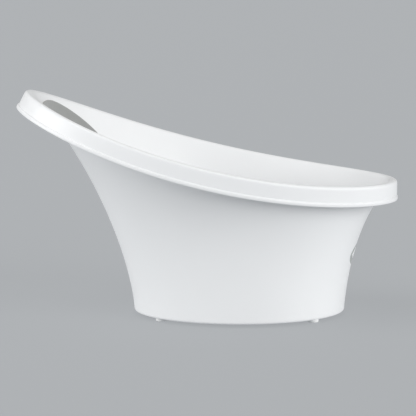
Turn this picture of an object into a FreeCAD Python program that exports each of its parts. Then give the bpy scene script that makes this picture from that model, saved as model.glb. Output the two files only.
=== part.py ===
import FreeCAD, Part
import math
import os

# A freestanding infant bath, millimetres. +X runs to the foot end, +Z up, and the
# origin is on the floor under the middle of the bath's length and width.
#
# The wall is a stack of ellipses. At height z their reach towards the foot, their reach
# towards the head and their half-width follow power laws of
# q = (z - base_height) / wall_rise.
# The rim's crest lies on a large cylinder about an axis along Y (the "rim arc"), and the
# skirt hangs from the crest along that cylinder's radius. Seen from above the crest is an
# oval a little wider at the head than at the foot.

DIMENSIONS = [
    ("base_height", 4.0, "underside of the shell above the floor"),
    ("wall_thickness", 3.4, "shell wall, measured level"),
    ("wall_rise", 312.0, "height over which the wall's flare is stated"),
    ("stack_step", 42.0, "height between two ellipses of the wall"),
    ("foot_reach", 194.4, "from the origin to the wall's foot end at the base"),
    ("foot_flare", 61.5, ""),
    ("foot_flare_power", 1.3, ""),
    ("foot_sweep", 172.7, "foot end's upper outward sweep"),
    ("foot_sweep_power", 3.2, ""),
    ("head_reach", 105.5, "from the origin to the wall's head end at the base"),
    ("head_flare", 126.9, ""),
    ("head_flare_power", 1.5, ""),
    ("head_sweep", 17.7, "head end's upper outward sweep"),
    ("head_sweep_power", 4.0, ""),
    ("base_half_width", 121.8, ""),
    ("side_flare", 160.4, ""),
    ("side_flare_power", 3.536, ""),
    ("base_edge_radius", 4.0, "outer edge under the wall"),
    ("floor_edge_radius", 9.0, "inner edge between floor and wall"),
    ("rim_arc_radius", 1235.0, ""),
    ("rim_arc_x", 288.8, "X of the rim arc's axis"),
    ("rim_low_height", 191.7, "crest height at the foot end"),
    ("crest_centre", 3.3, ""),
    ("crest_half_length", 257.7, ""),
    ("crest_half_width", 167.5, ""),
    ("crest_taper", 0.058, "share by which the crest is wider at the head"),
    ("lip_out", 5.6, "skirt's outer face beyond the crest line"),
    ("lip_out_change", 1.9, "more at the foot end, less at the head end"),
    ("skirt_slope", 0.02, "outward draft of the skirt"),
    ("skirt_depth", 27.8, "crest to the bead's lower edge"),
    ("skirt_thickness", 2.8, ""),
    ("gap_below", 20.0, "finger gap's cut runs on below the bead"),
    ("lip_thickness", 3.2, "top of the rim above the finger gap"),
    ("bead_depth", 5.8, "height of the bead along the skirt"),
    ("bead_out", 1.2, "bead beyond the skirt's outer face"),
    ("crest_radius", 3.4, "rounding of the crest's outer edge"),
    ("lip_radius", 2.2, "rounding of the crest's inner edge"),
    ("bump_x", 28.0, "seat bump's centre"),
    ("bump_half_length", 33.0, ""),
    ("bump_half_width", 50.0, ""),
    ("bump_height", 29.0, "above the shell's underside"),
    ("drain_x", 142.0, ""),
    ("drain_radius", 11.0, "bore of the drain"),
    ("collar_radius", 16.0, "drain collar under the floor"),
    ("collar_height", 1.4, "collar's underside above the floor"),
    ("plug_gap", 0.3, "radial clearance of the plug"),
    ("plug_taper", 1.0, "stem narrower by this at its low end"),
    ("flange_radius", 18.0, "plug flange that lies on the floor"),
    ("flange_thickness", 2.4, ""),
    ("tab_ring_radius", 7.0, "plug's pull ring, to the middle of its cord"),
    ("tab_cord_radius", 2.2, ""),
    ("foot_radius", 7.5, ""),
    ("foot_seat_depth", 0.9, "locating recess in the shell's underside"),
    ("foot_edge_radius", 1.2, ""),
    ("foot_head_x", -66.0, ""),
    ("foot_toe_x", 147.0, ""),
    ("foot_head_y", 68.0, ""),
    ("foot_toe_y", 78.0, ""),
    ("film_thickness", 0.6, ""),
    ("pad_thickness", 6.0, ""),
    ("pad_low", 108.0, "pad's lower edge"),
    ("pad_top", 301.0, "pad's upper edge"),
    ("pad_half_width", 87.0, ""),
    ("pad_corner", 52.0, "radius of the pad's upper corners"),
    ("pad_low_corner", 66.0, "radius of the pad's lower corners"),
    ("badge_height", 86.5, "badge's centre"),
    ("badge_half_width", 35.0, ""),
    ("badge_half_height", 16.5, ""),
    ("badge_depth", 1.4, "recess below the wall's outer face"),
    ("badge_gap", 0.3, "clearance round the plate"),
    ("badge_plate", 1.1, "plate's thickness"),
    ("mark_raise", 0.7, "leaf mark above the plate"),
    ("mark_half_width", 26.0, "from the leaf's middle to its tips"),
    ("mark_half_height", 8.5, ""),
    ("badge_backing", 1.8, "extra wall behind the badge, inside the bath"),
]

RIM_POINTS = 48
STACK_COUNT = 9
BADGE_STACK_COUNT = 5
BORE_LENGTH = 40.0
OVERLAP = 1.0
TOLERANCE = 0.1
FAN_TOP = 356.0
FAN_BOTTOM = 100.0
REACH = 700.0

doc = FreeCAD.newDocument("infant_bath")


def fill_sheet():
    sheet = doc.addObject("Spreadsheet::Sheet", "Dims")
    for row, (alias, value, note) in enumerate(DIMENSIONS, start=1):
        sheet.set("A%d" % row, alias)
        sheet.set("B%d" % row, str(value))
        sheet.set("C%d" % row, note)
        sheet.setAlias("B%d" % row, alias)
    doc.recompute()
    return sheet


sheet = fill_sheet()


def dim(alias):
    return float(getattr(sheet, alias))


def bind(item, **expressions):
    for prop, text in expressions.items():
        item.setExpression(prop.replace("__", "."), text)
    return item


def solid(kind, name, **expressions):
    return bind(doc.addObject("Part::" + kind, name), **expressions)


def cut(name, base, tool):
    item = doc.addObject("Part::Cut", name)
    item.Base = base
    item.Tool = tool
    return item


def common(name, base, tool):
    item = doc.addObject("Part::Common", name)
    item.Base = base
    item.Tool = tool
    return item


def fuse(name, pieces):
    item = doc.addObject("Part::MultiFuse", name)
    item.Shapes = pieces
    item.Refine = True
    return item


def round_edges(name, base, radius, chosen):
    """Fillet the base's edges that chosen(edge) accepts."""
    doc.recompute()
    size = dim(radius)
    item = doc.addObject("Part::Fillet", name)
    item.Base = base
    numbers = [i for i, edge in enumerate(base.Shape.Edges, start=1) if chosen(edge)]
    item.Edges = [(number, size, size) for number in numbers]
    return item


def wall_ellipse(name, height, inset):
    """One level ellipse of the wall; height and inset are expressions."""
    q = "((%s - Dims.base_height) / Dims.wall_rise)" % height
    item = doc.addObject("Part::Ellipse", name)
    foot = ("(Dims.foot_reach + Dims.foot_flare * {0} ^ Dims.foot_flare_power"
            " + Dims.foot_sweep * {0} ^ Dims.foot_sweep_power)").format(q)
    head = ("(Dims.head_reach + Dims.head_flare * {0} ^ Dims.head_flare_power"
            " + Dims.head_sweep * {0} ^ Dims.head_sweep_power)").format(q)
    side = "(Dims.base_half_width + Dims.side_flare * {0} ^ Dims.side_flare_power)".format(q)
    bind(item,
         MajorRadius="(%s + %s) / 2 - (%s)" % (foot, head, inset),
         MinorRadius="%s - (%s)" % (side, inset),
         Placement__Base__x="(%s - %s) / 2" % (foot, head),
         Placement__Base__z=height)
    return item


def wall_stack(name, inset, floor="Dims.base_height", first=1, count=STACK_COUNT):
    """Solid inside the wall's outer face moved in by inset, from floor up."""
    heights = [floor]
    for step in range(first, first + count - 1):
        heights.append("Dims.base_height + Dims.stack_step * %d" % step)
    rings = [wall_ellipse("%s_ring_%d" % (name, i), height, inset)
             for i, height in enumerate(heights)]
    item = doc.addObject("Part::Loft", name)
    item.Sections = rings
    item.Solid = True
    return item


def rim_arc(name, extra):
    """Disc about the rim arc's axis, larger than the rim arc by extra."""
    item = solid("Cylinder", name,
                 Radius="Dims.rim_arc_radius + %s" % extra,
                 Placement__Base__x="Dims.rim_arc_x",
                 Placement__Base__z="Dims.rim_low_height + Dims.rim_arc_radius")
    item.Height = REACH
    item.Placement.Rotation = FreeCAD.Rotation(FreeCAD.Vector(1, 0, 0), 90)
    item.Placement.Base.y = REACH / 2
    return item


def fan_point(angle, out, slope, height):
    """Point at a height on the line that hangs from the crest at an angle.

    The line starts out beyond the crest line and leaves the rim arc along its radius,
    drifting outward by slope for each millimetre down.
    """
    radius = dim("rim_arc_radius")
    length = dim("crest_half_length")
    width = dim("crest_half_width")
    taper = dim("crest_taper")
    x = dim("crest_centre") + length * math.cos(angle)
    y = width * math.sin(angle) * (1 - taper * math.cos(angle))
    lean = (dim("rim_arc_x") - x) / radius
    rise = math.sqrt(1 - lean ** 2)
    crest = FreeCAD.Vector(x, y, dim("rim_low_height") + radius - radius * rise)
    up = FreeCAD.Vector(lean, 0, rise)
    along = FreeCAD.Vector(-length * math.sin(angle),
                           width * (math.cos(angle) - taper * math.cos(2 * angle)),
                           length * math.sin(angle) * lean / rise)
    outward = along.cross(up).normalize()
    start = crest + outward * (out + dim("lip_out_change") * math.cos(angle))
    direction = outward * slope - up
    return start + direction * ((height - start.z) / direction.z)


def fan_solid(name, out, slope):
    """Solid inside the skirt's face; its sides are straight lines along the fan."""
    rings = []
    for level in (FAN_BOTTOM, FAN_TOP):
        turn = [2 * math.pi * i / RIM_POINTS for i in range(RIM_POINTS + 1)]
        points = [fan_point(angle, out, slope, level) for angle in turn[:-1]]
        curve = Part.BSplineCurve()
        curve.interpolate(Points=points, PeriodicFlag=True, Parameters=turn)
        ring = doc.addObject("Part::Feature", "%s_ring_%d" % (name, len(rings)))
        ring.Shape = Part.Wire([curve.toShape()])
        rings.append(ring)
    item = doc.addObject("Part::Loft", name)
    item.Sections = rings
    item.Solid = True
    item.Ruled = True
    return item


def oval_rod(name, half_width, half_height):
    """Rod along X with the badge's oval section, from inside the bath outward."""
    item = doc.addObject("Part::Ellipse", name + "_outline")
    bind(item, MajorRadius=half_width, MinorRadius=half_height,
         Placement__Base__z="Dims.badge_height")
    item.Placement.Rotation = FreeCAD.Rotation(FreeCAD.Vector(1, 1, 1), 120)
    rod = doc.addObject("Part::Extrusion", name)
    rod.Base = item
    rod.DirMode = "Custom"
    rod.Dir = FreeCAD.Vector(1, 0, 0)
    rod.LengthFwd = REACH
    rod.Solid = True
    return rod


def badge_stack(name, inset):
    """Part of the wall stack that the badge needs, moved in by inset."""
    return wall_stack(name, inset, count=BADGE_STACK_COUNT)


def make_rim():
    """Turned-down rim: lip, skirt and bead, still open to the finger gap."""
    crest = rim_arc("crest_arc", "0")
    lip = rim_arc("lip_arc", "Dims.lip_thickness")
    bead_top = rim_arc("bead_top_arc", "Dims.skirt_depth - Dims.bead_depth")
    low = rim_arc("skirt_low_arc", "Dims.skirt_depth")
    below = rim_arc("finger_gap_arc", "Dims.skirt_depth + Dims.gap_below")
    out = dim("lip_out")
    slope = dim("skirt_slope")
    skirt = fan_solid("skirt_face", out, slope)
    bead = fan_solid("bead_face", out + dim("bead_out"), slope)
    inside = fan_solid("skirt_inside", out - dim("skirt_thickness"), slope)
    band = cut("skirt_band", common("skirt_above_low", skirt, low), crest)
    bulge = cut("bead_band", common("bead_above_low", bead, low), bead_top)
    gap = cut("finger_gap_ring", common("finger_gap_fan", inside, below), lip)
    return crest, fuse("rim_blank", [band, bulge]), gap


def on_rim_arc(edge, extra, tolerance=0.4):
    """True when every sample of the edge lies extra beyond the rim arc."""
    axis_z = dim("rim_low_height") + dim("rim_arc_radius")
    wanted = dim("rim_arc_radius") + extra
    for point in edge.discretize(7):
        distance = math.hypot(point.x - dim("rim_arc_x"), point.z - axis_z)
        if abs(distance - wanted) > tolerance:
            return False
    return True


def crest_reach(edge):
    """Mean distance of the edge outside the crest line, in plan."""
    total = 0
    points = edge.discretize(9)
    for point in points:
        x = (point.x - dim("crest_centre")) / dim("crest_half_length")
        y = point.y / dim("crest_half_width") / (1 - dim("crest_taper") * x)
        total += (math.hypot(x, y) - 1) * dim("crest_half_width")
    return total / len(points)


def round_rim(shell):
    """Round the crest on both sides."""
    crest = round_edges("crest_rounded", shell, "crest_radius",
                        lambda edge: on_rim_arc(edge, 0) and crest_reach(edge) > 2)
    return round_edges("lip_rounded", crest, "lip_radius",
                       lambda edge: on_rim_arc(edge, 0) and crest_reach(edge) < 0)


def make_shell():
    crest, rim, gap = make_rim()
    outer = wall_stack("outer_stack", "0")
    outer = round_edges("outer_rounded", outer, "base_edge_radius",
                        lambda edge: edge.BoundBox.ZMax < dim("base_height") + TOLERANCE)
    floor = "Dims.base_height + Dims.wall_thickness"
    inner = wall_stack("inner_stack", "Dims.wall_thickness", floor)
    inner = round_edges("inner_rounded", inner, "floor_edge_radius",
                        lambda edge: edge.BoundBox.ZMax < dim("base_height")
                        + dim("wall_thickness") + TOLERANCE)
    trimmed = cut("outer_trimmed", outer, crest)
    ring = cut("rim_ring", cut("rim_hollow", rim, gap), inner)
    wall = cut("wall_skin", trimmed, inner)
    shell = fuse("shell_blank", [wall, ring])
    return round_rim(shell)


def make_bump():
    """Hollow seat bump that rises from the floor."""
    skins = []
    for name, inset in (("bump_outside", "0"), ("bump_hollow", "Dims.wall_thickness")):
        skins.append(solid("Ellipsoid", name,
                           Radius1="Dims.bump_height - %s" % inset,
                           Radius2="Dims.bump_half_length - %s" % inset,
                           Radius3="Dims.bump_half_width - %s" % inset,
                           Placement__Base__x="Dims.bump_x",
                           Placement__Base__z="Dims.base_height"))
        skins[-1].Angle1 = 0
    return skins


def foot_places():
    for end, x in (("head", "Dims.foot_head_x"), ("toe", "Dims.foot_toe_x")):
        for side, sign in (("left", ""), ("right", "-")):
            yield "foot_%s_%s" % (end, side), x, sign + "Dims.foot_%s_y" % end


def foot_disc(name, x, y, low, thickness):
    return solid("Cylinder", name, Radius="Dims.foot_radius", Height=thickness,
                 Placement__Base__x=x, Placement__Base__y=y, Placement__Base__z=low)


def make_tub():
    shell = make_shell()
    bump, hollow = make_bump()
    collar = solid("Cylinder", "drain_collar", Radius="Dims.collar_radius",
                   Height="Dims.base_height - Dims.collar_height + %s" % OVERLAP,
                   Placement__Base__x="Dims.drain_x", Placement__Base__z="Dims.collar_height")
    rod = oval_rod("backing_rod", "Dims.badge_half_width + Dims.badge_backing",
                   "Dims.badge_half_height + Dims.badge_backing")
    thick = badge_stack("backing_face", "Dims.wall_thickness + Dims.badge_backing")
    back = common("backing_in_bath", rod, badge_stack("backing_outer", str(OVERLAP)))
    backing = cut("badge_backing_pad", back, thick)
    body = fuse("tub_blank", [shell, bump, collar, backing])
    tools = [hollow]
    tools.append(solid("Cylinder", "drain_bore", Radius="Dims.drain_radius", Height=str(BORE_LENGTH),
                       Placement__Base__x="Dims.drain_x"))
    recess = oval_rod("badge_rod", "Dims.badge_half_width", "Dims.badge_half_height")
    tools.append(cut("badge_recess", recess, badge_stack("recess_face", "Dims.badge_depth")))
    for name, x, y in foot_places():
        tools.append(foot_disc(name + "_seat", x, y, "Dims.base_height - %s" % OVERLAP,
                               "Dims.foot_seat_depth + %s" % OVERLAP))
    tub = cut("tub_cut", body, fuse("tub_tools", tools))
    doc.recompute()
    return tub


def make_feet():
    feet = []
    for name, x, y in foot_places():
        disc = foot_disc(name + "_disc", x, y, "0", "Dims.base_height + Dims.foot_seat_depth")
        feet.append((name, round_edges(name + "_rounded", disc, "foot_edge_radius",
                                       lambda edge: edge.BoundBox.ZMax < TOLERANCE)))
    return feet


def make_plug():
    floor = "(Dims.base_height + Dims.wall_thickness)"
    place = {"Placement__Base__x": "Dims.drain_x"}
    flange = solid("Cylinder", "plug_flange", Radius="Dims.flange_radius",
                   Height="Dims.flange_thickness", Placement__Base__z=floor, **place)
    stem = solid("Cone", "plug_stem", Radius1="Dims.drain_radius - Dims.plug_gap - Dims.plug_taper",
                 Radius2="Dims.drain_radius - Dims.plug_gap",
                 Height=floor + " - Dims.collar_height + %s" % (OVERLAP / 2),
                 Placement__Base__z="Dims.collar_height", **place)
    ring = solid("Torus", "plug_ring", Radius1="Dims.tab_ring_radius",
                 Radius2="Dims.tab_cord_radius",
                 Placement__Base__z=floor + " + Dims.flange_thickness + Dims.tab_ring_radius",
                 **place)
    ring.Placement.Rotation = FreeCAD.Rotation(FreeCAD.Vector(1, 0, 0), 90)
    return fuse("plug_blank", [flange, stem, ring])


def rounded_outline(name):
    """Backrest outline in the YZ plane, corners as arcs, extruded along -X."""
    half = dim("pad_half_width")
    low, high = dim("pad_low"), dim("pad_top")
    corners = [(-half, low, dim("pad_low_corner")), (half, low, dim("pad_low_corner")),
               (half, high, dim("pad_corner")), (-half, high, dim("pad_corner"))]
    edges = []
    ends = []
    for y, z, radius in corners:
        side = math.copysign(1, -y)
        rise = 1 if z == low else -1
        centre = FreeCAD.Vector(0, y + side * radius, z + rise * radius)
        first = centre + FreeCAD.Vector(0, -side * radius, 0)
        last = centre + FreeCAD.Vector(0, 0, -rise * radius)
        middle = centre + FreeCAD.Vector(0, -side, -rise) * (radius / math.sqrt(2))
        if (side > 0) == (rise < 0):
            first, last = last, first
        edges.append(Part.Arc(first, middle, last).toShape())
        ends.append((first, last))
    lines = []
    for here, after in zip(ends, ends[1:] + ends[:1]):
        if here[1].distanceToPoint(after[0]) > 1e-6:
            lines.append(Part.LineSegment(here[1], after[0]).toShape())
    outline = doc.addObject("Part::Feature", name + "_outline")
    outline.Shape = Part.Wire(Part.__sortEdges__(edges + lines))
    rod = doc.addObject("Part::Extrusion", name)
    rod.Base = outline
    rod.DirMode = "Custom"
    rod.Dir = FreeCAD.Vector(-1, 0, 0)
    rod.LengthFwd = REACH
    rod.Solid = True
    return rod


def pad_layer(name, near, far, rod):
    """Layer between two insets of the wall, inside the backrest outline."""
    floor = "Dims.base_height + Dims.wall_thickness + %s" % (4 * OVERLAP)
    layer = cut(name + "_layer", wall_stack(name + "_back", near, floor),
                wall_stack(name + "_front", far, floor))
    return common(name + "_blank", layer, rod)


def make_backrest():
    film_near = "Dims.wall_thickness"
    film_far = film_near + " + Dims.film_thickness"
    pad_far = film_far + " + Dims.pad_thickness"
    rod = rounded_outline("backrest_rod")
    film = pad_layer("backrest_film", film_near, film_far, rod)
    pad = pad_layer("backrest_foam", film_far, pad_far, rod)
    return film, pad


def leaf_rod(name):
    """Rod along X with a leaf's outline: two arcs that meet in tips along Y."""
    middle = dim("badge_height")
    half = dim("mark_half_width")
    rise = dim("mark_half_height")
    left = FreeCAD.Vector(0, -half, middle)
    right = FreeCAD.Vector(0, half, middle)
    top = FreeCAD.Vector(0, 0, middle + rise)
    bottom = FreeCAD.Vector(0, 0, middle - rise)
    outline = doc.addObject("Part::Feature", name + "_outline")
    outline.Shape = Part.Wire([Part.Arc(left, top, right).toShape(),
                               Part.Arc(right, bottom, left).toShape()])
    rod = doc.addObject("Part::Extrusion", name)
    rod.Base = outline
    rod.DirMode = "Custom"
    rod.Dir = FreeCAD.Vector(1, 0, 0)
    rod.LengthFwd = REACH
    rod.Solid = True
    return rod


def make_badge():
    deep = "Dims.badge_depth"
    face = "Dims.badge_depth - Dims.badge_plate"
    raised = face + " - Dims.mark_raise"
    rod = oval_rod("plate_rod", "Dims.badge_half_width - Dims.badge_gap",
                   "Dims.badge_half_height - Dims.badge_gap")
    front = badge_stack("plate_face", face)
    layer = cut("plate_layer", front, badge_stack("plate_back", deep))
    plate = common("plate_blank", layer, rod)
    proud = cut("mark_layer", badge_stack("mark_face", raised), badge_stack("mark_back", face))
    mark = common("mark_blank", proud, leaf_rod("leaf_rod"))
    return plate, mark


def check(item):
    doc.recompute()
    bad = [thing.Name for thing in doc.Objects
           if "Invalid" in thing.State or "Error" in thing.State]
    if bad:
        raise RuntimeError("failed features: " + ", ".join(bad))
    shape = item.Shape
    if shape.isNull() or not shape.isValid():
        raise RuntimeError(item.Label + " has no valid shape")


def build():
    parts = [("tub_shell", make_tub())]
    parts += make_feet()
    parts.append(("drain_plug", make_plug()))
    film, pad = make_backrest()
    parts += [("backrest_adhesive", film), ("backrest_pad", pad)]
    plate, mark = make_badge()
    parts += [("badge_plate", plate), ("badge_mark", mark)]
    for label, item in parts:
        item.Label = label
    doc.recompute()
    return [item for _, item in parts]


def write(parts):
    os.makedirs("parts", exist_ok=True)
    for item in parts:
        check(item)
    for item in parts:
        item.Shape.exportStep("parts/%s.step" % item.Label)
        box = item.Shape.BoundBox
        print("%-18s solids %d volume %9.0f  x %.1f..%.1f y %.1f..%.1f z %.1f..%.1f" % (
            item.Label, len(item.Shape.Solids), item.Shape.Volume,
            box.XMin, box.XMax, box.YMin, box.YMax, box.ZMin, box.ZMax))


write(build())
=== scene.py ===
import math

import bmesh
import bpy
import numpy as np
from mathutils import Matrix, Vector


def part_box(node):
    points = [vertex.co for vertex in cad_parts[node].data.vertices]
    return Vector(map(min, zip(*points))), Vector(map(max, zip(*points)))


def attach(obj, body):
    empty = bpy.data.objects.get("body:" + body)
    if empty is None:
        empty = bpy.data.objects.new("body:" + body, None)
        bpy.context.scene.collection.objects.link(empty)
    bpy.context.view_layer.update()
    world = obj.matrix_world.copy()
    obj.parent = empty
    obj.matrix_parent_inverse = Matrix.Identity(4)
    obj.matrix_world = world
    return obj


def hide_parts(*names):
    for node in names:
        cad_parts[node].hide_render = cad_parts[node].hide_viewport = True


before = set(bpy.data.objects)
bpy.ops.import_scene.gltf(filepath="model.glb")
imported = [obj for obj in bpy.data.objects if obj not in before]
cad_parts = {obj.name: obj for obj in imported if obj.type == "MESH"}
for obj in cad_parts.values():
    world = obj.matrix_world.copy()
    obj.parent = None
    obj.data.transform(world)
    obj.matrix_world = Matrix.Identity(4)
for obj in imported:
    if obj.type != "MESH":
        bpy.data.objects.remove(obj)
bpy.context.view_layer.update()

# The bath's own sizes, in metres. The wall is a stack of level ellipses whose reach
# towards the foot, reach towards the head and half-width follow power laws of the height.
# The crest lies on a large cylinder about an axis along Y, and the rim's skirt hangs along
# that cylinder's radius.
MM = 0.001
BASE_Z = 4 * MM
BASE_EDGE = 3.2 * MM
WALL = 3.4 * MM
WALL_RISE = 312 * MM
FOOT_REACH = (194.4 * MM, 61.5 * MM, 1.3, 172.7 * MM, 3.2)
HEAD_REACH = (105.5 * MM, 126.9 * MM, 1.5, 17.7 * MM, 4.0)
SIDE_REACH = (121.8 * MM, 160.4 * MM, 3.536, 0.0, 1.0)
ARC_RADIUS = 1235 * MM
ARC_X = 288.8 * MM
ARC_Z = (191.7 + 1235) * MM
CREST_CENTRE = 3.3 * MM
CREST_HALF_LENGTH = 257.7 * MM
CREST_HALF_WIDTH = 167.5 * MM
CREST_TAPER = 0.058
LIP_OUT = 5.6 * MM
LIP_OUT_CHANGE = 1.9 * MM
LIP_THICKNESS = 3.2 * MM
SKIRT_SLOPE = 0.02
SKIRT_DEPTH = 27.8 * MM
SKIRT_THICKNESS = 2.8 * MM
BEAD_HALF = 2.9 * MM
BEAD_OUT = 1.3 * MM
BEAD_OUT_CHANGE = 0.25
# A round corner is a rational curve, and this weight brings it close to a circular arc.
CORNER_WEIGHT = 0.72
# The height where the wall meets the crest's cylinder is found by repeated substitution.
MEET_START_Z = 220 * MM
MEET_STEPS = 40

FLOOR_Z = BASE_Z + WALL
FLOOR_EDGE = 12 * MM
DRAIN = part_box("drain_plug")
DRAIN_X = (DRAIN[0][0] + DRAIN[1][0]) / 2
DRAIN_RADIUS = 11 * MM
DRAIN_EDGE = 1.2 * MM
COLLAR_RADIUS = 16 * MM
COLLAR_Z = 1.4 * MM
BUMP_X = 28 * MM
BUMP_HALF = (37 * MM, 55 * MM)
BUMP_HEIGHT = 25.6 * MM
BUMP_EDGE_POWER = 2.4
BUMP_SIDE_POWER = 1.7

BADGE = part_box("badge_plate")
BADGE_Z = (BADGE[0][2] + BADGE[1][2]) / 2
BADGE_HALF = (35 * MM, 16.5 * MM)
BADGE_DEPTH = 1.4 * MM
BADGE_GAP = 0.3 * MM
BADGE_BACKING = 1.8 * MM
BADGE_MARGIN = 6 * MM
BADGE_FADE = 0.22
BADGE_ROW_MARGIN = 8 * MM
BADGE_HALF_COLUMNS = 15
LEAF_HALF = (26 * MM, 8.5 * MM)
LEAF_DEPTH = 0.4 * MM

COLUMNS = 256
WALL_RINGS = 60
FLOOR_RINGS = 64
FOOT_SEGMENTS = 48
PLUG_SEGMENTS = 64
FEET = ("foot_head_left", "foot_head_right", "foot_toe_left", "foot_toe_right")


# ---- mesh helpers ---------------------------------------------------------------

def add_mesh(name, points, faces, body):
    """A smooth-shaded piece from points and faces, its normals turned outward."""
    mesh = bpy.data.meshes.new(name)
    mesh.from_pydata([tuple(p) for p in points], [], faces)
    work = bmesh.new()
    work.from_mesh(mesh)
    bmesh.ops.recalc_face_normals(work, faces=work.faces)
    work.to_mesh(mesh)
    work.free()
    mesh.polygons.foreach_set("use_smooth", [True] * len(mesh.polygons))
    piece = bpy.data.objects.new(name, mesh)
    bpy.context.scene.collection.objects.link(piece)
    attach(piece, body)
    return piece


def ring_faces(rings, columns, skip=None):
    """Quads between rings of points that lie one after another, some left out."""
    faces = []
    for i in range(rings - 1):
        for j in range(columns):
            if skip and skip(i, j):
                continue
            k = (j + 1) % columns
            low = i * columns
            faces.append((low + j, low + k, low + columns + k, low + columns + j))
    return faces


def fan(points, ring, hub_point):
    """Adds a hub point and returns the triangles that close a ring of point numbers."""
    points.append(hub_point)
    hub = len(points) - 1
    return [(ring[j], ring[(j + 1) % len(ring)], hub) for j in range(len(ring))]


def lathe(profile, segments):
    """Points and faces of a profile of (radius, height) turned about Z, ends closed."""
    turn = np.linspace(0, 2 * math.pi, segments, endpoint=False)
    points = []
    for radius, height in profile:
        points += [(radius * math.cos(a), radius * math.sin(a), height) for a in turn]
    last = (len(profile) - 1) * segments
    faces = ring_faces(len(profile), segments)
    faces.append(tuple(range(segments))[::-1])
    faces.append(tuple(range(last, last + segments)))
    return points, faces


def arc(centre, radius, start, end, steps):
    """Points of an arc in the (radius, height) plane, angles in degrees."""
    return [(centre[0] + radius * math.cos(math.radians(a)),
             centre[1] + radius * math.sin(math.radians(a)))
            for a in np.linspace(start, end, steps)]


# ---- the bath's surfaces --------------------------------------------------------

def reach(law, z):
    """A wall reach (base, flare, power, sweep, power) at a height."""
    base, flare, flare_power, sweep, sweep_power = law
    q = np.clip((z - BASE_Z) / WALL_RISE, 0, None)
    return base + flare * q ** flare_power + sweep * q ** sweep_power


def wall_axes(z, inset):
    """Centre X, half-length and half-width of the wall's ellipse at a height."""
    foot = reach(FOOT_REACH, z)
    head = reach(HEAD_REACH, z)
    return (foot - head) / 2, (foot + head) / 2 - inset, reach(SIDE_REACH, z) - inset


def wall(angle, z, inset=0.0):
    """Point of the wall's outer face, moved in by inset, at an angle and a height."""
    centre, length, width = wall_axes(z, inset)
    x = centre + length * np.cos(angle)
    y = width * np.sin(angle)
    return np.stack(np.broadcast_arrays(x, y, z), -1)


def wall_at(y, z, inset, head):
    """Point of the wall at a given Y and Z, at the head end or the foot end."""
    centre, length, width = wall_axes(z, inset)
    along = length * np.sqrt(np.clip(1 - (y / width) ** 2, 0, None))
    x = centre - along if head else centre + along
    return np.stack(np.broadcast_arrays(x, y, z), -1)


def meet(angle, inset, drop):
    """Where the wall meets the cylinder that lies drop below the crest's."""
    z = np.full_like(angle, MEET_START_Z)
    for _ in range(MEET_STEPS):
        x = wall(angle, z, inset)[..., 0]
        z = ARC_Z - np.sqrt((ARC_RADIUS + drop) ** 2 - (x - ARC_X) ** 2)
    return wall(angle, z, inset)


def crest_frame(turn):
    """Crest line, its outward direction and the rim arc's upward normal."""
    x = CREST_CENTRE + CREST_HALF_LENGTH * np.cos(turn)
    lean = (ARC_X - x) / ARC_RADIUS
    rise = np.sqrt(1 - lean ** 2)
    y = CREST_HALF_WIDTH * np.sin(turn) * (1 - CREST_TAPER * np.cos(turn))
    crest = np.stack([x, y, ARC_Z - ARC_RADIUS * rise], -1)
    up = np.stack([lean, 0 * turn, rise], -1)
    along = np.stack([-CREST_HALF_LENGTH * np.sin(turn),
                      CREST_HALF_WIDTH * (np.cos(turn) - CREST_TAPER * np.cos(2 * turn)),
                      CREST_HALF_LENGTH * np.sin(turn) * lean / rise], -1)
    out = np.cross(along, up)
    out /= np.linalg.norm(out, axis=-1, keepdims=True)
    return crest, out, up


def smooth_step(x):
    """0 below 0, 1 above 1, and a smooth rise between."""
    x = np.clip(x, 0, 1)
    return x * x * (3 - 2 * x)


def bump(x, y):
    """Height of the moulded seat bump above the floor."""
    r = np.hypot((x - BUMP_X) / BUMP_HALF[0], y / BUMP_HALF[1])
    return BUMP_HEIGHT * np.clip(1 - r ** BUMP_EDGE_POWER, 0, None) ** BUMP_SIDE_POWER


def rounded_corner(before, corner, after, steps):
    """Rings of a round corner between two surfaces, ends included."""
    rings = []
    for f in np.linspace(0, 1, steps):
        a, b, c = (1 - f) ** 2, 2 * CORNER_WEIGHT * f * (1 - f), f ** 2
        rings.append((a * before + b * corner + c * after) / (a + b + c))
    return rings


# ---- the shell ------------------------------------------------------------------

ANGLES = np.pi + np.linspace(0, 2 * np.pi, COLUMNS, endpoint=False)


def circle(radius, z):
    """Level ring about the drain's axis."""
    return np.stack([DRAIN_X + radius * np.cos(ANGLES), radius * np.sin(ANGLES),
                     np.full(COLUMNS, z)], -1)


def floor_rings(z, inset, hole):
    """Level rings from the drain hole out to the floor's edge, raised over the bump."""
    edge = wall(ANGLES, np.full(COLUMNS, z), inset)
    edge[:, 2] = z
    drain = circle(hole, z)
    rings = []
    for f in np.linspace(0, 1, FLOOR_RINGS):
        ring = drain + (edge - drain) * f
        ring[:, 2] += bump(ring[:, 0], ring[:, 1])
        rings.append(ring)
    return rings


def corner_rings(z, inset, radius, steps):
    """Rings of the round corner from the floor or the underside up to the wall."""
    rings = []
    for a in np.linspace(0, math.pi / 2, steps)[1:]:
        height = np.full(COLUMNS, z + radius * (1 - math.cos(a)))
        rings.append(wall(ANGLES, height, inset + radius * (1 - math.sin(a))))
    return rings


def inner_inset(x, y, z):
    """Inner wall's inset: thicker behind the badge."""
    near = np.hypot(y / (BADGE_HALF[0] + BADGE_MARGIN),
                    (z - BADGE_Z) / (BADGE_HALF[1] + BADGE_MARGIN))
    return WALL + BADGE_BACKING * smooth_step((1 - near) / BADGE_FADE) * (x > 0)


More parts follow.
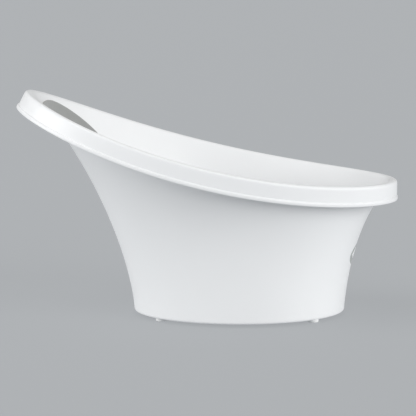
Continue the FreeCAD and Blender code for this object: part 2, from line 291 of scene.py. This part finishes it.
def rim_rings(inner_top):
    """Rings over the lip, down the skirt, round the bead and back up inside it."""
    top = meet(ANGLES, 0.0, 0.0)
    along = (top[:, 0] - CREST_CENTRE) / CREST_HALF_LENGTH
    turn = np.arctan2(top[:, 1] / CREST_HALF_WIDTH / (1 - CREST_TAPER * along), along)
    crest, out, up = crest_frame(turn)
    lip_out = LIP_OUT + LIP_OUT_CHANGE * np.cos(turn)
    bead_out = BEAD_OUT * (1 - BEAD_OUT_CHANGE * np.cos(turn))

    def rim(u, v):
        """Ring u outward from the crest line and v below it."""
        u = np.broadcast_to(np.asarray(u, float), turn.shape)[:, None]
        v = np.broadcast_to(np.asarray(v, float), turn.shape)[:, None]
        return crest + u * out - v * up

    def skirt(v, inward=0.0):
        """How far out the skirt's face is at v below the crest, moved inward."""
        return lip_out + SKIRT_SLOPE * v - inward

    inner = ((meet(ANGLES, WALL, 0.0) - crest) * out).sum(1)
    inner_radius = 2.6 * MM
    outer_radius = 3.8 * MM
    crown = 0.25 * MM
    below_lip = 2 * MM
    above_bead = 0.7 * MM
    gap_corner = 4.6 * MM
    gap_round = 1.8 * MM
    rings = rounded_corner(inner_top, rim(inner, 0), rim(inner + inner_radius, 0), 9)
    flat_start = inner + inner_radius
    flat_end = lip_out - outer_radius
    for f in (0.3, 0.55, 0.8, 1.0):
        rings.append(rim(flat_start + (flat_end - flat_start) * f,
                         -crown * math.sin(math.pi * f)))
    for a in np.radians(np.linspace(0, 87, 10))[1:]:
        rings.append(rim(flat_end + outer_radius * math.sin(a),
                         outer_radius * (1 - math.cos(a))))
    bead_middle = SKIRT_DEPTH - BEAD_HALF
    for v in np.linspace(outer_radius + below_lip, bead_middle - BEAD_HALF - above_bead, 9):
        rings.append(rim(skirt(v), v))
    for a in np.radians(np.linspace(-90, 90, 15)):
        v = bead_middle + BEAD_HALF * math.sin(a)
        rings.append(rim(skirt(v) + bead_out * math.cos(a) ** 0.8, v))
    # The skirt's lower edge, in millimetres in from its face and up from its depth.
    for inward, rise in ((0.9, 0), (1.9, 0), (2.5, 0.25), (2.75, 0.8), (2.8, 1.6)):
        v = SKIRT_DEPTH - rise * MM
        rings.append(rim(skirt(v, inward * MM), v))
    gap_low, gap_high = SKIRT_DEPTH - 3 * MM, LIP_THICKNESS + 1.6 * MM
    for v in np.linspace(gap_low, gap_high, 8):
        rings.append(rim(skirt(v, SKIRT_THICKNESS), v))
    gap_top = meet(ANGLES, 0.0, LIP_THICKNESS)
    skirt_top = rim(skirt(LIP_THICKNESS, SKIRT_THICKNESS), LIP_THICKNESS)
    middle = (gap_top + skirt_top) / 2
    rings += rounded_corner(rim(skirt(gap_corner, SKIRT_THICKNESS), gap_corner),
                            skirt_top, middle, 5)
    wall_top = meet(ANGLES, 0.0, LIP_THICKNESS + gap_round)
    rings += rounded_corner(middle, gap_top, wall_top, 6)[1:]
    return rings


def outer_heights(top):
    """Heights of the outer wall's rings, from under the lip down to the base corner."""
    low = BASE_Z + BASE_EDGE
    return [top + (low - top) * f for f in np.linspace(0, 1, WALL_RINGS)]


def badge_block(heights):
    """Rows and columns of the outer wall that the badge's own patch stands in for."""
    middle = COLUMNS // 2
    near = BADGE_HALF[1] + BADGE_ROW_MARGIN
    rows = [i for i, h in enumerate(heights) if abs(h[middle] - BADGE_Z) < near]
    return rows[0], rows[-1], middle - BADGE_HALF_COLUMNS, middle + BADGE_HALF_COLUMNS


def badge_patch(points, loop):
    """Faces from the block's edge in to the recess's floor, whose points it adds."""
    edge = np.array([points[i] for i in loop])
    scaled = np.stack([edge[:, 1] / BADGE_HALF[0], (edge[:, 2] - BADGE_Z) / BADGE_HALF[1]], -1)
    turn = np.arctan2(scaled[:, 1], scaled[:, 0])
    oval = np.stack([BADGE_HALF[0] * np.cos(turn), BADGE_HALF[1] * np.sin(turn) + BADGE_Z], -1)
    flat_edge = edge[:, 1:]
    previous = list(loop)
    faces = []

    def join(ring_points):
        """Adds a ring and the quads that join it to the one before."""
        nonlocal previous
        start = len(points)
        points.extend(ring_points)
        ring = list(range(start, start + len(ring_points)))
        for j in range(len(ring)):
            k = (j + 1) % len(ring)
            faces.append((previous[j], previous[k], ring[k], ring[j]))
        previous = ring

    for f in (0.75, 0.5, 0.25, 0.08):
        place = oval + (flat_edge - oval) * f
        join(wall_at(place[:, 0], place[:, 1], 0.0, head=False))
    centre = np.array([0, BADGE_Z])
    # The recess as (share of the oval, depth in millimetres): its side, then its floor.
    recess = [(1.0, 0.0), (0.998, 0.06), (0.996, 0.2), (0.994, 0.6), (0.992, 1.1),
              (0.985, 1.32), (0.97, 1.4), (0.8, 1.4), (0.6, 1.4), (0.4, 1.4), (0.2, 1.4)]
    for scale, depth in recess:
        place = centre + (oval - centre) * scale
        join(wall_at(place[:, 0], place[:, 1], depth * MM, head=False))
    hub = wall_at(np.array(0.0), np.array(BADGE_Z), BADGE_DEPTH, head=False)
    return faces + fan(points, previous, hub)


def make_shell():
    """One closed skin: floor, inner wall, rim, outer wall, underside and drain."""
    crest_clearance = 3.4 * MM
    rings = floor_rings(FLOOR_Z, WALL + FLOOR_EDGE, DRAIN_RADIUS + DRAIN_EDGE)
    rings += corner_rings(FLOOR_Z, WALL, FLOOR_EDGE, 9)
    low = FLOOR_Z + FLOOR_EDGE
    top = meet(ANGLES, WALL, crest_clearance)[:, 2]
    for f in np.linspace(0, 1, WALL_RINGS)[1:]:
        z = low + (top - low) * f
        place = wall(ANGLES, z, WALL)
        rings.append(wall(ANGLES, z, inner_inset(place[:, 0], place[:, 1], z)))
    rings += rim_rings(rings[-1])[1:]
    heights = outer_heights(rings[-1][:, 2])
    wall_start = len(rings) - 1
    rings += [wall(ANGLES, z) for z in heights[1:]]
    rings += corner_rings(BASE_Z, 0.0, BASE_EDGE, 7)[::-1][1:]
    rings += floor_rings(BASE_Z, BASE_EDGE, COLLAR_RADIUS)[::-1]
    edge = 0.5 * MM
    rings += [circle(COLLAR_RADIUS, COLLAR_Z + edge),
              circle(COLLAR_RADIUS - edge, COLLAR_Z),
              circle(DRAIN_RADIUS + edge, COLLAR_Z),
              circle(DRAIN_RADIUS, COLLAR_Z + edge),
              circle(DRAIN_RADIUS, FLOOR_Z - DRAIN_EDGE),
              circle(DRAIN_RADIUS + 0.3 * MM, FLOOR_Z - 0.5 * MM),
              circle(DRAIN_RADIUS + 0.7 * MM, FLOOR_Z - 0.15 * MM)]
    first, last, left, right = badge_block(heights)

    def in_block(i, j):
        """Whether a quad lies where the badge's patch goes."""
        return wall_start + first <= i < wall_start + last and left <= j < right

    points = [p for ring in rings for p in ring]
    faces = ring_faces(len(rings), COLUMNS, skip=in_block)
    last_ring = (len(rings) - 1) * COLUMNS
    for j in range(COLUMNS):
        k = (j + 1) % COLUMNS
        faces.append((last_ring + j, last_ring + k, k, j))

    def index(i, j):
        """Point number at a row and column of the outer wall."""
        return (wall_start + i) * COLUMNS + j

    loop = [index(first, j) for j in range(left, right)]
    loop += [index(i, right) for i in range(first, last)]
    loop += [index(last, j) for j in range(right, left, -1)]
    loop += [index(i, left) for i in range(last, first, -1)]
    faces += badge_patch(points, loop)
    shell = add_mesh("bath_shell", points, faces, "bath")
    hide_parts("tub_shell")


# ---- the backrest ---------------------------------------------------------------

PAD_HALF = 87 * MM
PAD_LOW = 108 * MM
PAD_TOP = 301 * MM
PAD_LOW_CORNER = 66 * MM
PAD_TOP_CORNER = 52 * MM
PAD_BACK = WALL + 0.6 * MM
PAD_THICKNESS = 6 * MM
PAD_SOFT_EDGE = 5 * MM
PAD_EDGE_POWER = 2.3
PAD_EDGE_SHARE = 0.18
# Distances in from the outline, in millimetres, of the front's and the back's rings.
PAD_FRONT = (82, 72, 60, 48, 36, 24, 15, 9.5, 7, 5.2, 3.8, 2.6, 1.6, 0.8, 0.3, 0.0)
PAD_REAR = (0.0, 0.6, 20, 50, 70, 82)


def pad_outline(steps):
    """Closed outline (y, z): a tall rectangle with large round corners."""
    corners = [(PAD_HALF, PAD_TOP, PAD_TOP_CORNER, 0), (-PAD_HALF, PAD_TOP, PAD_TOP_CORNER, 90),
               (-PAD_HALF, PAD_LOW, PAD_LOW_CORNER, 180), (PAD_HALF, PAD_LOW, PAD_LOW_CORNER, 270)]
    points = []
    for y, z, radius, start in corners:
        centre = (y - math.copysign(radius, y), z - radius if z == PAD_TOP else z + radius)
        points += arc(centre, radius, start, start + 90, steps)
    points = np.array(points)
    gaps = np.linalg.norm(np.roll(points, -1, 0) - points, axis=1)
    along = np.concatenate([[0], np.cumsum(gaps)])
    even = np.linspace(0, along[-1], 4 * steps, endpoint=False)
    closed = np.vstack([points, points[:1]])
    return np.stack([np.interp(even, along, closed[:, i]) for i in (0, 1)], -1)


def make_pad():
    """Foam sheet on the inner wall, its edge rounded down to the adhesive film."""
    outline = pad_outline(48)
    centre = np.array([0, (PAD_LOW + PAD_TOP) / 2])
    rings = []
    for depth in PAD_FRONT:
        place = centre + (outline - centre) * (1 - depth * MM / PAD_HALF)
        rise = min(depth * MM / PAD_SOFT_EDGE, 1)
        swell = (1 - (1 - rise) ** PAD_EDGE_POWER) ** (1 / PAD_EDGE_POWER)
        thick = PAD_THICKNESS * (PAD_EDGE_SHARE + (1 - PAD_EDGE_SHARE) * swell)
        rings.append(wall_at(place[:, 0], place[:, 1], PAD_BACK + thick, head=True))
    for depth in PAD_REAR:
        place = centre + (outline - centre) * (1 - depth * MM / PAD_HALF)
        back = PAD_BACK + (0.5 * MM if depth == 0.0 else 0.05 * MM)
        rings.append(wall_at(place[:, 0], place[:, 1], back, head=True))
    count = len(outline)
    points = [p for ring in rings for p in ring]
    faces = ring_faces(len(rings), count)
    for start, inset in ((0, PAD_BACK + PAD_THICKNESS), ((len(rings) - 1) * count, PAD_BACK)):
        hub = wall_at(np.array(0.0), np.array(centre[1]), inset, head=True)
        faces += fan(points, range(start, start + count), hub)
    pad = add_mesh("backrest_foam", points, faces, "bath")
    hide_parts("backrest_pad")


# ---- badge ----------------------------------------------------------------------

def badge_plate(name, outline, half, depth_face, depth_back, node):
    """Thin plate that follows the wall, with a softened front edge.

    half is the outline's half-height, and the depths are measured in from the wall's face.
    """
    centre = np.array([0, BADGE_Z])
    count = len(outline)
    soft = 0.35 * MM
    rings = [(0.15, depth_face), (0.4, depth_face), (0.65, depth_face), (0.85, depth_face)]
    rings += [(1 - 2.2 * soft / half, depth_face), (1 - soft / half, depth_face + 0.08 * MM),
              (1 - 0.3 * soft / half, depth_face + 0.25 * MM), (1, depth_face + 0.5 * MM),
              (1, depth_back), (0.5, depth_back)]
    points = []
    for scale, depth in rings:
        place = centre + (outline - centre) * scale
        points += list(wall_at(place[:, 0], place[:, 1], depth, head=False))
    faces = ring_faces(len(rings), count)
    for start, depth in ((0, depth_face), ((len(rings) - 1) * count, depth_back)):
        hub = wall_at(np.array(0.0), np.array(BADGE_Z), depth, head=False)
        faces += fan(points, range(start, start + count), hub)
    piece = add_mesh(name, points, faces, "bath")
    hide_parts(node)


def leaf_outline(steps):
    """Outline (y, z) of a leaf: two arcs that meet in tips along Y."""
    half, rise = LEAF_HALF
    radius = (half ** 2 + rise ** 2) / (2 * rise)
    swing = math.degrees(math.asin(half / radius))
    upper = arc((0, BADGE_Z + rise - radius), radius, 90 - swing, 90 + swing, steps)
    lower = arc((0, BADGE_Z - rise + radius), radius, 270 - swing, 270 + swing, steps)
    return np.array(upper[:-1] + lower[:-1])


def make_badge():
    """Oval inlay in the shell's recess, and the plain leaf raised on it."""
    turn = np.linspace(0, 2 * math.pi, 120, endpoint=False)
    oval = np.stack([(BADGE_HALF[0] - BADGE_GAP) * np.cos(turn),
                     (BADGE_HALF[1] - BADGE_GAP) * np.sin(turn) + BADGE_Z], -1)
    badge_plate("badge_inlay", oval, BADGE_HALF[1], 0.3 * MM, BADGE_DEPTH,
                "badge_plate")
    badge_plate("badge_leaf", leaf_outline(48), LEAF_HALF[1], -LEAF_DEPTH, LEAF_DEPTH,
                "badge_mark")


# ---- feet and plug --------------------------------------------------------------

def make_foot(node):
    """Rubber foot with a grooved sole, in the foot node's box."""
    low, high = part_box(node)
    radius = (high[0] - low[0]) / 2
    height = high[2] - low[2]
    edge = 1.3 * MM
    profile = [(0.4 * MM, 0.7 * MM), (1.6 * MM, 0.7 * MM), (2.1 * MM, 0.25 * MM), (2.5 * MM, 0)]
    profile += [(3.7 * MM, 0), (4.0 * MM, 0.4 * MM), (4.5 * MM, 0.4 * MM), (4.8 * MM, 0)]
    profile += arc((radius - edge, edge), edge, -90, 0, 6)
    profile += [(radius, height - 0.5 * MM), (radius - 0.2 * MM, height), (0.4 * MM, height)]
    points, faces = lathe(profile, FOOT_SEGMENTS)
    points = [(x + (low[0] + high[0]) / 2, y + (low[1] + high[1]) / 2, z) for x, y, z in points]
    piece = add_mesh(node + "_pad", points, faces, "bath")
    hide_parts(node)


def make_plug():
    """Turned plug with a flange and a standing pull ring."""
    flange = 18 * MM
    top = FLOOR_Z + 2.4 * MM
    stem = DRAIN_RADIUS - 0.35 * MM
    profile = [(0.5 * MM, COLLAR_Z + 1.5 * MM), (6 * MM, COLLAR_Z + 1.5 * MM),
               (6.6 * MM, COLLAR_Z + 0.3 * MM), (7.2 * MM, COLLAR_Z)]
    profile += arc((stem - 2.2 * MM, COLLAR_Z + 1.2 * MM), 1.2 * MM, -90, 0, 5)
    profile += [(stem - 0.2 * MM, FLOOR_Z - 1.2 * MM), (stem, FLOOR_Z - 0.1 * MM),
                (stem + 0.5 * MM, FLOOR_Z), (flange - 0.6 * MM, FLOOR_Z)]
    profile += arc((flange - 0.9 * MM, top - 0.9 * MM), 0.9 * MM, -30, 90, 7)
    profile += [(flange - 3 * MM, top), (flange - 3.6 * MM, top - 0.5 * MM),
                (flange - 6 * MM, top - 0.6 * MM), (8 * MM, top - 0.5 * MM),
                (5 * MM, top + 0.2 * MM), (3.6 * MM, top + 1.4 * MM), (3.0 * MM, top + 3 * MM),
                (0.5 * MM, top + 3.4 * MM)]
    points, faces = lathe(profile, PLUG_SEGMENTS)
    ring, bar, flatness = 7 * MM, 2.2 * MM, 0.8
    around, section = 48, 20
    start = len(points)
    for a in np.linspace(0, 2 * math.pi, around, endpoint=False):
        for b in np.linspace(0, 2 * math.pi, section, endpoint=False):
            arm = ring + bar * math.cos(b)
            points.append((arm * math.cos(a), bar * flatness * math.sin(b),
                           top + ring + arm * math.sin(a)))
    for i in range(around):
        for j in range(section):
            here, after = start + i * section, start + ((i + 1) % around) * section
            k = (j + 1) % section
            faces.append((here + j, here + k, after + k, after + j))
    points = [(x + DRAIN_X, y, z) for x, y, z in points]
    piece = add_mesh("plug", points, faces, "plug")
    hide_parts("drain_plug")


# ---- materials ------------------------------------------------------------------

def new_material(name, colour, roughness, **sockets):
    """A Principled material; a further socket is named with _ for each space."""
    material = bpy.data.materials.new(name)
    material.use_nodes = True
    shader = material.node_tree.nodes["Principled BSDF"]
    shader.inputs["Base Color"].default_value = (*colour, 1)
    shader.inputs["Roughness"].default_value = roughness
    for key, value in sockets.items():
        shader.inputs[key.replace("_", " ")].default_value = value
    return material, shader


def noise(material, scale, detail):
    """Noise over the object's own coordinates, so it doesn't need UVs."""
    nodes, links = material.node_tree.nodes, material.node_tree.links
    place = nodes.new("ShaderNodeTexCoord")
    texture = nodes.new("ShaderNodeTexNoise")
    texture.inputs["Scale"].default_value = scale
    texture.inputs["Detail"].default_value = detail
    links.new(place.outputs["Object"], texture.inputs["Vector"])
    return texture.outputs["Fac"]


def span(material, value, low, high):
    """A noise value's usual range, 0.3 to 0.7, spread between low and high."""
    node = material.node_tree.nodes.new("ShaderNodeMapRange")
    node.inputs["From Min"].default_value = 0.3
    node.inputs["From Max"].default_value = 0.7
    node.inputs["To Min"].default_value = low
    node.inputs["To Max"].default_value = high
    material.node_tree.links.new(value, node.inputs["Value"])
    return node.outputs["Result"]


def add_bump(material, shader, height, strength, distance, below=None):
    """Bump from a texture value, on top of another bump if one is given."""
    node = material.node_tree.nodes.new("ShaderNodeBump")
    node.inputs["Strength"].default_value = strength
    node.inputs["Distance"].default_value = distance
    material.node_tree.links.new(height, node.inputs["Height"])
    if below is not None:
        material.node_tree.links.new(below.outputs["Normal"], node.inputs["Normal"])
    material.node_tree.links.new(node.outputs["Normal"], shader.inputs["Normal"])
    return node


def tint(material, shader, value, dark, light):
    """Base colour between two colours by a texture value."""
    node = material.node_tree.nodes.new("ShaderNodeMix")
    node.data_type = "RGBA"
    node.inputs["A"].default_value = (*dark, 1)
    node.inputs["B"].default_value = (*light, 1)
    material.node_tree.links.new(value, node.inputs["Factor"])
    material.node_tree.links.new(node.outputs["Result"], shader.inputs["Base Color"])


def moulded_plastic(name, dark, light, roughness):
    """Satin moulded plastic: slow waves from the mould, and a fine texture on them."""
    material, shader = new_material(name, light, roughness, IOR=1.48)
    tint(material, shader, noise(material, 9, 2), dark, light)
    links = material.node_tree.links
    links.new(span(material, noise(material, 60, 4), roughness - 0.05, roughness + 0.06),
              shader.inputs["Roughness"])
    wave = add_bump(material, shader, noise(material, 22, 1), 0.12, 0.6 * MM)
    add_bump(material, shader, noise(material, 2600, 2), 0.10, 0.06 * MM, wave)
    return material


def foam(name, dark, light):
    """Matt closed-cell foam with open pores at its surface."""
    material, shader = new_material(name, light, 0.92, Sheen_Weight=0.25, Sheen_Roughness=0.5,
                                    Specular_IOR_Level=0.25)
    cells = material.node_tree.nodes.new("ShaderNodeTexVoronoi")
    place = material.node_tree.nodes.new("ShaderNodeTexCoord")
    cells.inputs["Scale"].default_value = 900
    material.node_tree.links.new(place.outputs["Object"], cells.inputs["Vector"])
    tint(material, shader, noise(material, 700, 3), dark, light)
    pores = add_bump(material, shader, cells.outputs["Distance"], 0.5, 0.35 * MM)
    add_bump(material, shader, noise(material, 120, 3), 0.25, 0.5 * MM, pores)
    return material


def rubber(name, dark, light):
    """Dull, finely grained rubber."""
    material, shader = new_material(name, light, 0.6, Specular_IOR_Level=0.35)
    tint(material, shader, noise(material, 400, 3), dark, light)
    add_bump(material, shader, noise(material, 1800, 3), 0.25, 0.1 * MM)
    return material


def paint(name, material):
    """Gives a piece one material."""
    piece = bpy.data.objects[name]
    piece.data.materials.clear()
    piece.data.materials.append(material)


# ---- stage ----------------------------------------------------------------------

FLOOR_COLOUR = (0.097, 0.1, 0.103)
FLOOR_GLOW_COLOUR = (0.97, 1.01, 1.05, 1)
FLOOR_GLOW = 0.34
FLOOR_HALF = 30.0
SKY_COLOUR = (1.0, 1.0, 1.0, 1)
SKY_STRENGTH = 0.16
# Name, azimuth, elevation, spread and strength. Azimuth 0 is the front and +90 the foot end.
SUNS = (("key", 50, 20, 40, 1.65),
        ("left", -85, 8, 40, 2.25),
        ("right", 92, 10, 40, 1.05),
        ("front", 0, 12, 40, 0.3),
        ("front_left", -30, 35, 40, 0.3),
        ("top_left", -65, 58, 50, 0.85),
        ("back", -160, 45, 60, 0.4))
LENS_MM = 202.53
SENSOR_MM = 36
CAMERA_PLACE = Vector((-0.0004, -3.3, 0.6273))
CAMERA_AIM = Vector((-0.0004, 0, 0.15004))


def make_stage():
    """Plain pale floor that glows a little, so it is evenly lit."""
    mesh = bpy.data.meshes.new("floor")
    corners = ((-1, -1), (1, -1), (1, 1), (-1, 1))
    mesh.from_pydata([(x * FLOOR_HALF, y * FLOOR_HALF, 0) for x, y in corners], [], [(0, 1, 2, 3)])
    floor = bpy.data.objects.new("floor", mesh)
    bpy.context.scene.collection.objects.link(floor)
    material, _ = new_material("floor_grey", FLOOR_COLOUR, 0.9, Specular_IOR_Level=0.1,
                               Emission_Color=FLOOR_GLOW_COLOUR, Emission_Strength=FLOOR_GLOW)
    mesh.materials.append(material)


def sun(name, azimuth, elevation, spread, strength):
    """Soft distant light, its angles in degrees."""
    light = bpy.data.lights.new(name, "SUN")
    light.energy = strength
    light.angle = math.radians(spread)
    turn, rise = math.radians(azimuth), math.radians(elevation)
    toward = Vector((math.sin(turn) * math.cos(rise), -math.cos(turn) * math.cos(rise),
                     math.sin(rise)))
    holder = bpy.data.objects.new(name, light)
    holder.rotation_euler = toward.to_track_quat("Z", "Y").to_euler()
    bpy.context.scene.collection.objects.link(holder)


def make_lights():
    world = bpy.data.worlds.new("studio")
    bpy.context.scene.world = world
    world.use_nodes = True
    sky = world.node_tree.nodes["Background"]
    sky.inputs["Color"].default_value = SKY_COLOUR
    sky.inputs["Strength"].default_value = SKY_STRENGTH
    for lamp in SUNS:
        sun(*lamp)


def make_camera():
    """Long lens, slightly above the rim, at the photograph's viewing angle."""
    lens = bpy.data.cameras.new("camera")
    lens.sensor_width = SENSOR_MM
    lens.lens = LENS_MM
    lens.clip_end = 100
    camera = bpy.data.objects.new("camera", lens)
    camera.location = CAMERA_PLACE
    camera.rotation_euler = (CAMERA_AIM - CAMERA_PLACE).to_track_quat("-Z", "Y").to_euler()
    bpy.context.scene.collection.objects.link(camera)
    bpy.context.scene.camera = camera
    bpy.context.scene.view_settings.view_transform = "Standard"


make_camera()
make_lights()
make_stage()
make_shell()
make_pad()
make_badge()
for foot in FEET:
    make_foot(foot)
make_plug()

WHITE = moulded_plastic("white_plastic", (0.82, 0.83, 0.838), (0.847, 0.857, 0.865), 0.36)
GREY = moulded_plastic("grey_plastic", (0.38, 0.40, 0.395), (0.42, 0.44, 0.435), 0.5)
paint("bath_shell", WHITE)
paint("badge_leaf", WHITE)
paint("badge_inlay", GREY)
paint("backrest_foam", foam("grey_foam", (0.245, 0.25, 0.245), (0.32, 0.327, 0.32)))
paint("plug", rubber("grey_rubber", (0.24, 0.25, 0.25), (0.30, 0.31, 0.31)))
paint("backrest_adhesive", rubber("film", (0.6, 0.6, 0.56), (0.7, 0.7, 0.66)))
PALE = rubber("pale_rubber", (0.72, 0.73, 0.73), (0.80, 0.81, 0.81))
for foot in FEET:
    paint(foot + "_pad", PALE)
